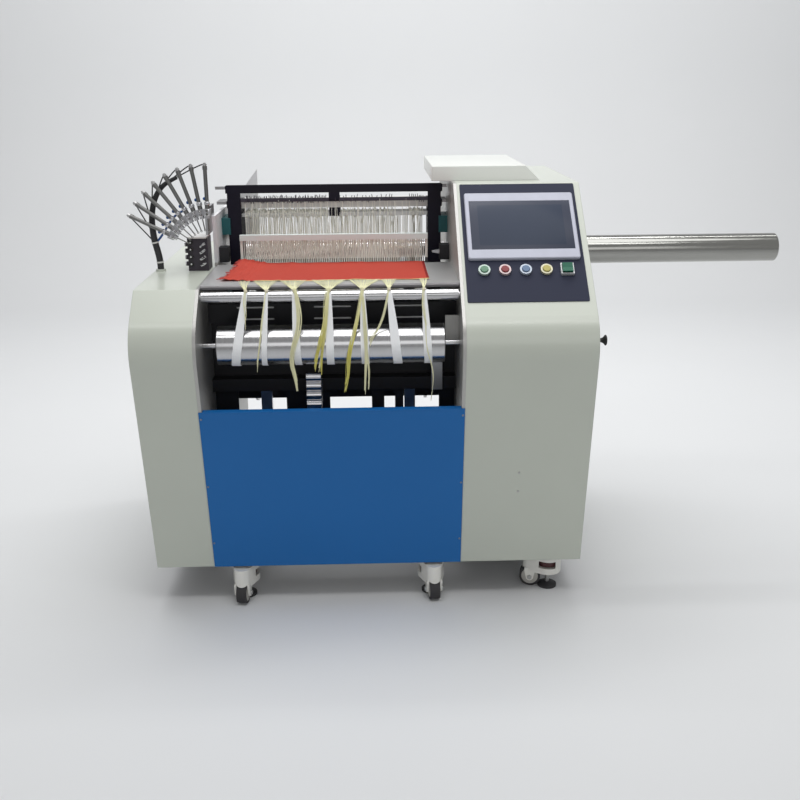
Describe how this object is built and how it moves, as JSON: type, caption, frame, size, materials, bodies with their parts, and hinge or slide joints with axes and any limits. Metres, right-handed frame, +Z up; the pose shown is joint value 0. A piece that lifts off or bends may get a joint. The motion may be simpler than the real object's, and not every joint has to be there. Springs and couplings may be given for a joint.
{
  "type": "automatic sample loom",
  "caption": "Small automatic rapier sample loom on levelling casters: folded cabinets, slanted console, chrome cloth rollers, reed, heald frames, weft selector fan and side rapier tube.",
  "frame": {"origin": "middle of the whole loom's footprint, on the floor under the levelling pads", "axes": "+X to the operator's right along the rapier tube, +Y away from the operator, +Z up"},
  "size_m": [1.7198, 0.8928, 1.1],
  "materials": {
    "cabinet_paint": "satin pale grey-green powder coat",
    "panel_blue": "satin blue powder coat",
    "frame_black": "matt black paint",
    "plate_steel": "plain rolled steel",
    "chrome": "polished hard chrome",
    "rail_alloy": "satin anodised",
    "heald_black": "black anodised",
    "guide_teal": "cast nylon",
    "block_black": "moulded black",
    "hose_black": "matt",
    "cloth_red": "plain weave",
    "yarn_cream": "spun yarn",
    "tape_white": "woven tape",
    "console_slate": "printed film, satin",
    "screen_silver": "satin moulded",
    "ring_metal": "polished",
    "green_cap": "gloss moulded",
    "red_cap": "gloss moulded",
    "blue_cap": "gloss moulded",
    "yellow_cap": "gloss moulded",
    "knob_black": "moulded black",
    "caster_white": "cream gloss paint",
    "caster_tread": "hard dark tread",
    "motor_grey": "cast and painted"
  },
  "bodies": {
    "machine": {"left_side_plate": "cabinet_paint", "right_side_plate": "cabinet_paint", "left_cover": "cabinet_paint", "right_cover": "cabinet_paint", "top_housing": "cabinet_paint", "base_frame": "frame_black", "levelling_feet": "plate_steel", "rear_casters": "caster_white", "front_panel": "panel_blue", "breast_plate": "plate_steel", "take_up_motor": "motor_grey", "cross_beams": "frame_black", "drag_strip": "plate_steel", "heald_cylinders": "rail_alloy", "heald_guides": "guide_teal", "selector_bracket": "plate_steel", "selector_cylinders": "plate_steel", "tension_block": "block_black", "air_hose": "hose_black", "rapier_tube": "plate_steel", "rapier_guide": "frame_black", "warp_sheet": "yarn_cream", "woven_cloth": "cloth_red", "leader_tapes": "tape_white", "console_plate": "console_slate", "touch_screen": "screen_silver", "button_rings": "ring_metal"},
    "take_up_roller": {"take_up_roller": "chrome"},
    "breast_roller": {"breast_roller": "chrome"},
    "warp_beam": {"warp_beam": "rail_alloy"},
    "back_rest": {"back_rest": "chrome"},
    "sley": {"sley": "rail_alloy", "reed": "plate_steel"},
    "rapier": {"rapier": "rail_alloy"},
    "green_button": {"green_button": "green_cap"},
    "red_button": {"red_button": "red_cap"},
    "blue_button": {"blue_button": "blue_cap"},
    "yellow_button": {"yellow_button": "yellow_cap"},
    "power_switch": {"power_switch": "green_cap"},
    "side_knob": {"side_knob": "knob_black"},
    "heald_frame_1": {"heald_frame_1": "heald_black"},
    "heald_frame_2": {"heald_frame_2": "heald_black"},
    "heald_frame_3": {"heald_frame_3": "heald_black"},
    "heald_frame_4": {"heald_frame_4": "heald_black"},
    "heald_frame_5": {"heald_frame_5": "heald_black"},
    "heald_frame_6": {"heald_frame_6": "heald_black"},
    "selector_rod_1": {"selector_rod_1": "plate_steel"},
    "selector_rod_2": {"selector_rod_2": "plate_steel"},
    "selector_rod_3": {"selector_rod_3": "plate_steel"},
    "selector_rod_4": {"selector_rod_4": "plate_steel"},
    "selector_rod_5": {"selector_rod_5": "plate_steel"},
    "selector_rod_6": {"selector_rod_6": "plate_steel"},
    "selector_rod_7": {"selector_rod_7": "plate_steel"},
    "selector_rod_8": {"selector_rod_8": "plate_steel"},
    "caster_fork_1": {"caster_fork_1": "caster_white"},
    "caster_fork_2": {"caster_fork_2": "caster_white"},
    "caster_fork_3": {"caster_fork_3": "caster_white"},
    "caster_wheel_1": {"caster_wheel_1": "caster_tread"},
    "caster_wheel_2": {"caster_wheel_2": "caster_tread"},
    "caster_wheel_3": {"caster_wheel_3": "caster_tread"}
  },
  "joints": [
    {"name": "take_up_roller_spin", "type": "hinge", "parent": "machine", "child": "take_up_roller", "pos_m": [-0.34406, -0.34052, 0.693], "axis": [1, 0, 0], "continuous": true},
    {"name": "breast_roller_spin", "type": "hinge", "parent": "machine", "child": "breast_roller", "pos_m": [-0.34406, -0.34052, 0.811], "axis": [1, 0, 0], "continuous": true},
    {"name": "warp_beam_spin", "type": "hinge", "parent": "machine", "child": "warp_beam", "pos_m": [-0.34406, 0.30948, 0.48], "axis": [1, 0, 0], "continuous": true},
    {"name": "back_rest_spin", "type": "hinge", "parent": "machine", "child": "back_rest", "pos_m": [-0.34406, 0.35948, 0.811], "axis": [1, 0, 0], "continuous": true},
    {"name": "sley_swing", "type": "hinge", "parent": "machine", "child": "sley", "pos_m": [-0.34406, -0.00052, 0.3], "axis": [-1, 0, 0], "range_deg": [0, 5.5]},
    {"name": "rapier_slide", "type": "slide", "parent": "machine", "child": "rapier", "axis": [-1, 0, 0], "range_m": [0, 0.52]},
    {"name": "heald_1_lift", "type": "slide", "parent": "machine", "child": "heald_frame_1", "axis": [0, 0, 1], "range_m": [-0.042, 0]},
    {"name": "heald_2_lift", "type": "slide", "parent": "machine", "child": "heald_frame_2", "axis": [0, 0, 1], "range_m": [0, 0.042]},
    {"name": "heald_3_lift", "type": "slide", "parent": "machine", "child": "heald_frame_3", "axis": [0, 0, 1], "range_m": [0, 0.042]},
    {"name": "heald_4_lift", "type": "slide", "parent": "machine", "child": "heald_frame_4", "axis": [0, 0, 1], "range_m": [0, 0.042]},
    {"name": "heald_5_lift", "type": "slide", "parent": "machine", "child": "heald_frame_5", "axis": [0, 0, 1], "range_m": [0, 0.042]},
    {"name": "heald_6_lift", "type": "slide", "parent": "machine", "child": "heald_frame_6", "axis": [0, 0, 1], "range_m": [0, 0.042]},
    {"name": "selector_1_push", "type": "slide", "parent": "machine", "child": "selector_rod_1", "axis": [0, 0, -1], "range_m": [0, 0.018], "stiffness_N_per_m": 60, "springref_m": -0.01},
    {"name": "selector_2_push", "type": "slide", "parent": "machine", "child": "selector_rod_2", "axis": [0.1582, 0, -0.9874], "range_m": [0, 0.018], "stiffness_N_per_m": 60, "springref_m": -0.01},
    {"name": "selector_3_push", "type": "slide", "parent": "machine", "child": "selector_rod_3", "axis": [0.3123, 0, -0.95], "range_m": [0, 0.018], "stiffness_N_per_m": 60, "springref_m": -0.01},
    {"name": "selector_4_push", "type": "slide", "parent": "machine", "child": "selector_rod_4", "axis": [0.4587, 0, -0.8886], "range_m": [0, 0.018], "stiffness_N_per_m": 60, "springref_m": -0.01},
    {"name": "selector_5_push", "type": "slide", "parent": "machine", "child": "selector_rod_5", "axis": [0.5934, 0, -0.8049], "range_m": [0, 0.018], "stiffness_N_per_m": 60, "springref_m": -0.01},
    {"name": "selector_6_push", "type": "slide", "parent": "machine", "child": "selector_rod_6", "axis": [0.7133, 0, -0.7009], "range_m": [0, 0.018], "stiffness_N_per_m": 60, "springref_m": -0.01},
    {"name": "selector_7_push", "type": "slide", "parent": "machine", "child": "selector_rod_7", "axis": [0.8151, 0, -0.5793], "range_m": [0, 0.018], "stiffness_N_per_m": 60, "springref_m": -0.01},
    {"name": "selector_8_push", "type": "slide", "parent": "machine", "child": "selector_rod_8", "axis": [0.8965, 0, -0.4431], "range_m": [0, 0.018], "stiffness_N_per_m": 60, "springref_m": -0.01},
    {"name": "green_button_press", "type": "slide", "parent": "machine", "child": "green_button", "axis": [0, 0.682, -0.7314], "range_m": [0, 0.0035], "stiffness_N_per_m": 400, "springref_m": -0.002},
    {"name": "red_button_press", "type": "slide", "parent": "machine", "child": "red_button", "axis": [0, 0.682, -0.7314], "range_m": [0, 0.0035], "stiffness_N_per_m": 400, "springref_m": -0.002},
    {"name": "blue_button_press", "type": "slide", "parent": "machine", "child": "blue_button", "axis": [0, 0.682, -0.7314], "range_m": [0, 0.0035], "stiffness_N_per_m": 400, "springref_m": -0.002},
    {"name": "yellow_button_press", "type": "slide", "parent": "machine", "child": "yellow_button", "axis": [0, 0.682, -0.7314], "range_m": [0, 0.0035], "stiffness_N_per_m": 400, "springref_m": -0.002},
    {"name": "power_switch_rock", "type": "hinge", "parent": "machine", "child": "power_switch", "pos_m": [0.22594, -0.32633, 0.87152], "axis": [1, 0, 0], "range_deg": [-7, 7]},
    {"name": "side_knob_turn", "type": "hinge", "parent": "machine", "child": "side_knob", "pos_m": [0.28594, -0.40252, 0.708], "axis": [1, 0, 0], "range_deg": [0, 90]},
    {"name": "caster_1_swivel", "type": "hinge", "parent": "machine", "child": "caster_fork_1", "pos_m": [-0.58806, -0.29252, 0.046], "axis": [0, 0, 1], "continuous": true},
    {"name": "caster_1_roll", "type": "hinge", "parent": "caster_fork_1", "child": "caster_wheel_1", "pos_m": [-0.59286, -0.33827, 0.029], "axis": [-0.9945, 0.1045, 0], "continuous": true},
    {"name": "caster_2_swivel", "type": "hinge", "parent": "machine", "child": "caster_fork_2", "pos_m": [-0.10006, -0.29252, 0.046], "axis": [0, 0, 1], "continuous": true},
    {"name": "caster_2_roll", "type": "hinge", "parent": "caster_fork_2", "child": "caster_wheel_2", "pos_m": [-0.09525, -0.33827, 0.029], "axis": [-0.9945, -0.1045, 0], "continuous": true},
    {"name": "caster_3_swivel", "type": "hinge", "parent": "machine", "child": "caster_fork_3", "pos_m": [0.21294, -0.27852, 0.046], "axis": [0, 0, 1], "continuous": true},
    {"name": "caster_3_roll", "type": "hinge", "parent": "caster_fork_3", "child": "caster_wheel_3", "pos_m": [0.16795, -0.26896, 0.029], "axis": [0.2079, 0.9781, 0], "continuous": true}
  ]
}
